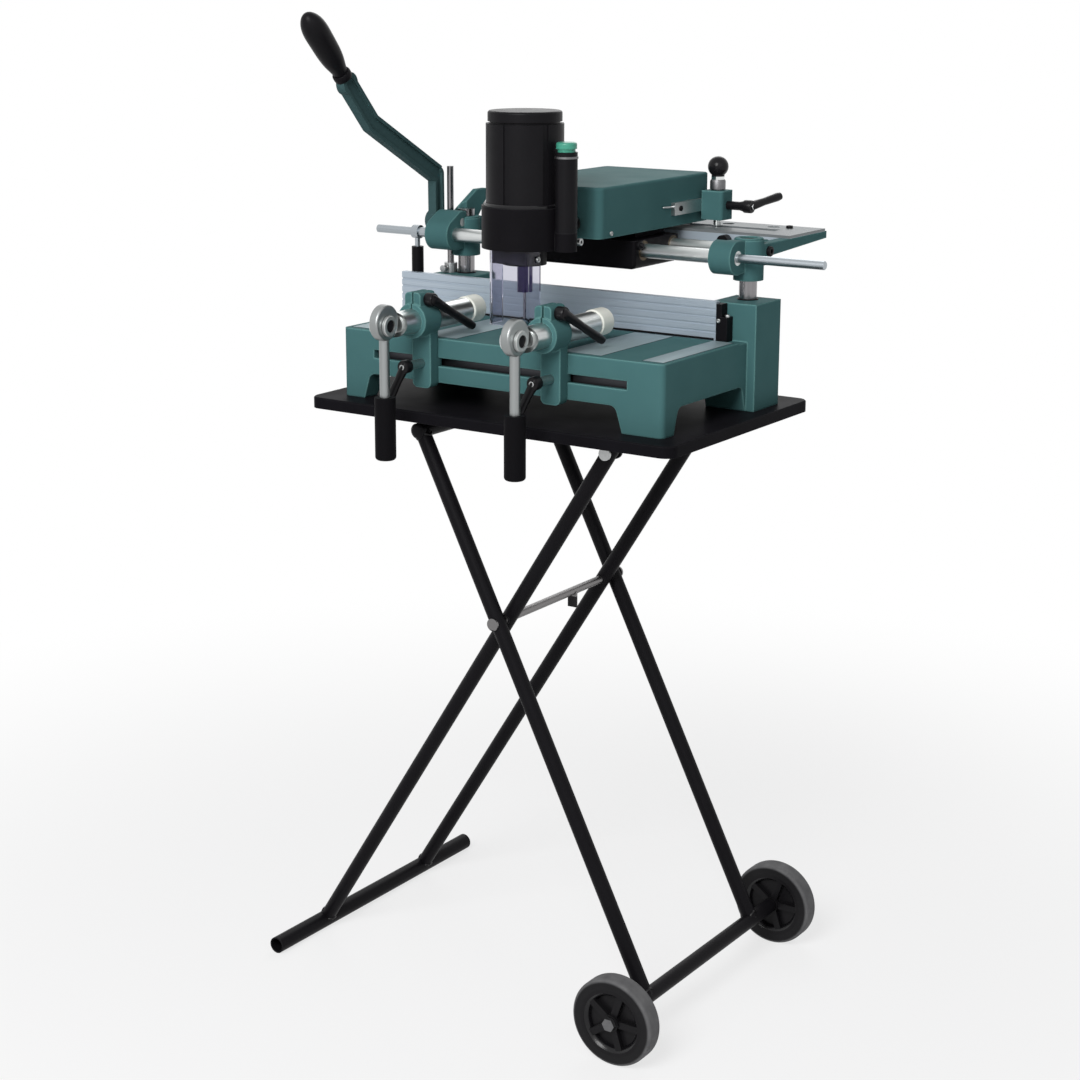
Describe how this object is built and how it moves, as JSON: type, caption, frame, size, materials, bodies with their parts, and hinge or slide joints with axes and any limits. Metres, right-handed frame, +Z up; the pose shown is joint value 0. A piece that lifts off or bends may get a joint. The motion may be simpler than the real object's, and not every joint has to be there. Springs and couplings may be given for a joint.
{
  "type": "copy router on a folding wheeled stand",
  "caption": "Profile copy router: plunging head on columns and cross slides, tracer over a template, cam clamps and fence, all on a board with a folding wheeled scissor stand.",
  "frame": {"origin": "on the floor, under the centre of the board", "axes": "+X to the operator's right, +Y to the back, +Z up"},
  "size_m": [0.756, 0.5875, 1.3977],
  "materials": {
    "black_laminate": "black laminated board",
    "black_paint": "black powder coat",
    "zinc_steel": "bright zinc-plated steel",
    "green_casting": "blue-green paint over cast aluminium",
    "aluminium": "anodised extrusion",
    "chrome": "hard chromed and ground",
    "bronze": "turned bronze",
    "black_plastic": "moulded, lightly textured",
    "green_plastic": "moulded gloss",
    "clear_guard": "clear plastic",
    "carbide": "ground tool steel",
    "tyre": "grey rubber tyre on a black hub",
    "nylon": "turned nylon"
  },
  "bodies": {
    "base": {"board": "black_laminate", "stand_brackets": "black_paint", "frame_bolts": "zinc_steel", "base_casting": "green_casting", "fence": "aluminium", "fence_end_blocks": "black_paint", "guide_columns": "chrome", "stop_rod": "chrome", "strut_body": "black_paint"},
    "stop_collar_body": {"stop_collar": "zinc_steel"},
    "inner_legs": {"inner_leg_front": "black_paint", "inner_leg_rear": "black_paint", "foot_bar": "black_paint", "pivot_rod": "zinc_steel"},
    "outer_legs": {"outer_leg_front": "black_paint", "outer_leg_rear": "black_paint", "outer_top_tube": "black_paint", "axle_tube": "black_paint", "axle": "zinc_steel"},
    "front_wheel_body": {"front_wheel": "tyre"},
    "rear_wheel_body": {"rear_wheel": "tyre"},
    "head": {"left_casting": "green_casting", "right_casting": "green_casting", "column_bushes": "bronze", "guide_rods": "chrome", "template_plate": "aluminium", "strut_rod": "chrome"},
    "left_bar": {"left_stop_bar": "chrome"},
    "right_bar": {"right_stop_bar": "chrome"},
    "template_knob_body": {"template_knob": "black_plastic"},
    "lever": {"lever_arm": "green_casting", "lever_grip": "black_plastic", "lever_shaft": "zinc_steel"},
    "carriage": {"carriage_block": "black_paint", "slide_bushes": "bronze"},
    "slide": {"slide_box": "green_casting", "y_rods": "chrome", "motor_bracket": "black_paint", "motor_housing": "black_plastic", "side_handle": "black_plastic", "chip_guard": "clear_guard", "tracer_bar": "zinc_steel", "tracer_block": "green_casting"},
    "button": {"switch_button": "green_plastic"},
    "spindle_body": {"spindle": "zinc_steel", "cutter": "carbide"},
    "tracer": {"tracer_pin": "chrome"},
    "tracer_clamp": {"tracer_lever": "black_plastic"},
    "left_clamp": {"left_clamp_bracket": "green_casting"},
    "left_barrel": {"left_clamp_barrel": "chrome"},
    "left_tip": {"left_clamp_tip": "nylon"},
    "left_handle": {"left_clamp_handle": "chrome"},
    "left_ratchet": {"left_ratchet_lever": "black_plastic"},
    "left_lock": {"left_lock_lever": "black_plastic"},
    "right_clamp": {"right_clamp_bracket": "green_casting"},
    "right_barrel": {"right_clamp_barrel": "chrome"},
    "right_tip": {"right_clamp_tip": "nylon"},
    "right_handle": {"right_clamp_handle": "chrome"},
    "right_ratchet": {"right_ratchet_lever": "black_plastic"},
    "right_lock": {"right_lock_lever": "black_plastic"}
  },
  "joints": [
    {"name": "stand_fold", "type": "hinge", "parent": "base", "child": "inner_legs", "pos_m": [0.165, 0, 0.824], "axis": [0, 1, 0], "range_deg": [0, 55]},
    {"name": "outer_fold", "type": "hinge", "parent": "inner_legs", "child": "outer_legs", "pos_m": [0.00033, 0, 0.56351], "axis": [0, 1, 0], "range_deg": [-116, 0]},
    {"name": "front_wheel_spin", "type": "hinge", "parent": "outer_legs", "child": "front_wheel_body", "pos_m": [0.251, -0.2305, 0.0625], "axis": [0, 1, 0], "continuous": true},
    {"name": "rear_wheel_spin", "type": "hinge", "parent": "outer_legs", "child": "rear_wheel_body", "pos_m": [0.251, 0.2305, 0.0625], "axis": [0, 1, 0], "continuous": true},
    {"name": "head_plunge", "type": "slide", "parent": "base", "child": "head", "axis": [0, 0, 1], "range_m": [-0.01, 0.014]},
    {"name": "lever_turn", "type": "hinge", "parent": "head", "child": "lever", "pos_m": [-0.26, 0.0867, 1.087], "axis": [1, 0, 0], "range_deg": [-67, 48]},
    {"name": "stop_collar_set", "type": "slide", "parent": "base", "child": "stop_collar_body", "axis": [0, 0, 1], "range_m": [0, 0.01]},
    {"name": "left_bar_slide", "type": "slide", "parent": "head", "child": "left_bar", "axis": [-1, 0, 0], "range_m": [-0.1, 0.09]},
    {"name": "right_bar_slide", "type": "slide", "parent": "head", "child": "right_bar", "axis": [1, 0, 0], "range_m": [-0.1, 0.09]},
    {"name": "template_knob_turn", "type": "hinge", "parent": "head", "child": "template_knob_body", "pos_m": [0.161, 0.19, 1.0765], "axis": [0, 1, 0], "range_deg": [-170, 170]},
    {"name": "carriage_x", "type": "slide", "parent": "head", "child": "carriage", "axis": [1, 0, 0], "range_m": [-0.046, 0.042]},
    {"name": "slide_y", "type": "slide", "parent": "carriage", "child": "slide", "axis": [0, 1, 0], "range_m": [-0.01, 0.105]},
    {"name": "spindle_spin", "type": "hinge", "parent": "slide", "child": "spindle_body", "pos_m": [0.008, -0.098, 1.06], "axis": [0, 0, 1], "continuous": true},
    {"name": "button_press", "type": "slide", "parent": "slide", "child": "button", "axis": [0, 0, 1], "range_m": [-0.004, 0], "stiffness_N_per_m": 400, "springref_m": 0.001},
    {"name": "tracer_lift", "type": "slide", "parent": "slide", "child": "tracer", "axis": [0, 0, 1], "range_m": [0, 0.025]},
    {"name": "tracer_clamp_turn", "type": "hinge", "parent": "slide", "child": "tracer_clamp", "pos_m": [0.134, 0.24, 1.121], "axis": [1, 0, 0], "range_deg": [-12, 80]},
    {"name": "left_clamp_slide", "type": "slide", "parent": "base", "child": "left_clamp", "axis": [1, 0, 0], "range_m": [-0.08, 0.03]},
    {"name": "left_barrel_slide", "type": "slide", "parent": "left_clamp", "child": "left_barrel", "axis": [0, 1, 0], "range_m": [-0.04, 0.024]},
    {"name": "left_handle_turn", "type": "hinge", "parent": "left_barrel", "child": "left_handle", "pos_m": [-0.112, -0.258, 0.988], "axis": [1, 0, 0], "range_deg": [-100, 0]},
    {"name": "left_tip_push", "type": "slide", "parent": "left_barrel", "child": "left_tip", "axis": [0, 1, 0], "range_m": [0, 0.004]},
    {"name": "left_ratchet_turn", "type": "hinge", "parent": "left_clamp", "child": "left_ratchet", "pos_m": [-0.112, -0.1785, 1.015], "axis": [1, 0, 0], "range_deg": [0, 95]},
    {"name": "left_lock_turn", "type": "hinge", "parent": "left_clamp", "child": "left_lock", "pos_m": [-0.112, -0.18, 0.925], "axis": [0, 1, 0], "range_deg": [-40, 40]},
    {"name": "right_clamp_slide", "type": "slide", "parent": "base", "child": "right_clamp", "axis": [1, 0, 0], "range_m": [-0.03, 0.09]},
    {"name": "right_barrel_slide", "type": "slide", "parent": "right_clamp", "child": "right_barrel", "axis": [0, 1, 0], "range_m": [-0.04, 0.024]},
    {"name": "right_handle_turn", "type": "hinge", "parent": "right_barrel", "child": "right_handle", "pos_m": [0.102, -0.258, 0.988], "axis": [1, 0, 0], "range_deg": [-100, 0]},
    {"name": "right_tip_push", "type": "slide", "parent": "right_barrel", "child": "right_tip", "axis": [0, 1, 0], "range_m": [0, 0.004]},
    {"name": "right_ratchet_turn", "type": "hinge", "parent": "right_clamp", "child": "right_ratchet", "pos_m": [0.102, -0.1785, 1.015], "axis": [1, 0, 0], "range_deg": [0, 95]},
    {"name": "right_lock_turn", "type": "hinge", "parent": "right_clamp", "child": "right_lock", "pos_m": [0.102, -0.18, 0.925], "axis": [0, 1, 0], "range_deg": [-40, 40]}
  ],
  "couplings": [
    {"joint": "outer_fold", "follows": "stand_fold", "ratio": -2.0991},
    {"joint": "lever_turn", "follows": "head_plunge", "rad_per_m": -83.333},
    {"joint": "left_tip_push", "follows": "left_handle_turn", "m_per_rad": -0.0022918},
    {"joint": "right_tip_push", "follows": "right_handle_turn", "m_per_rad": -0.0022918}
  ]
}
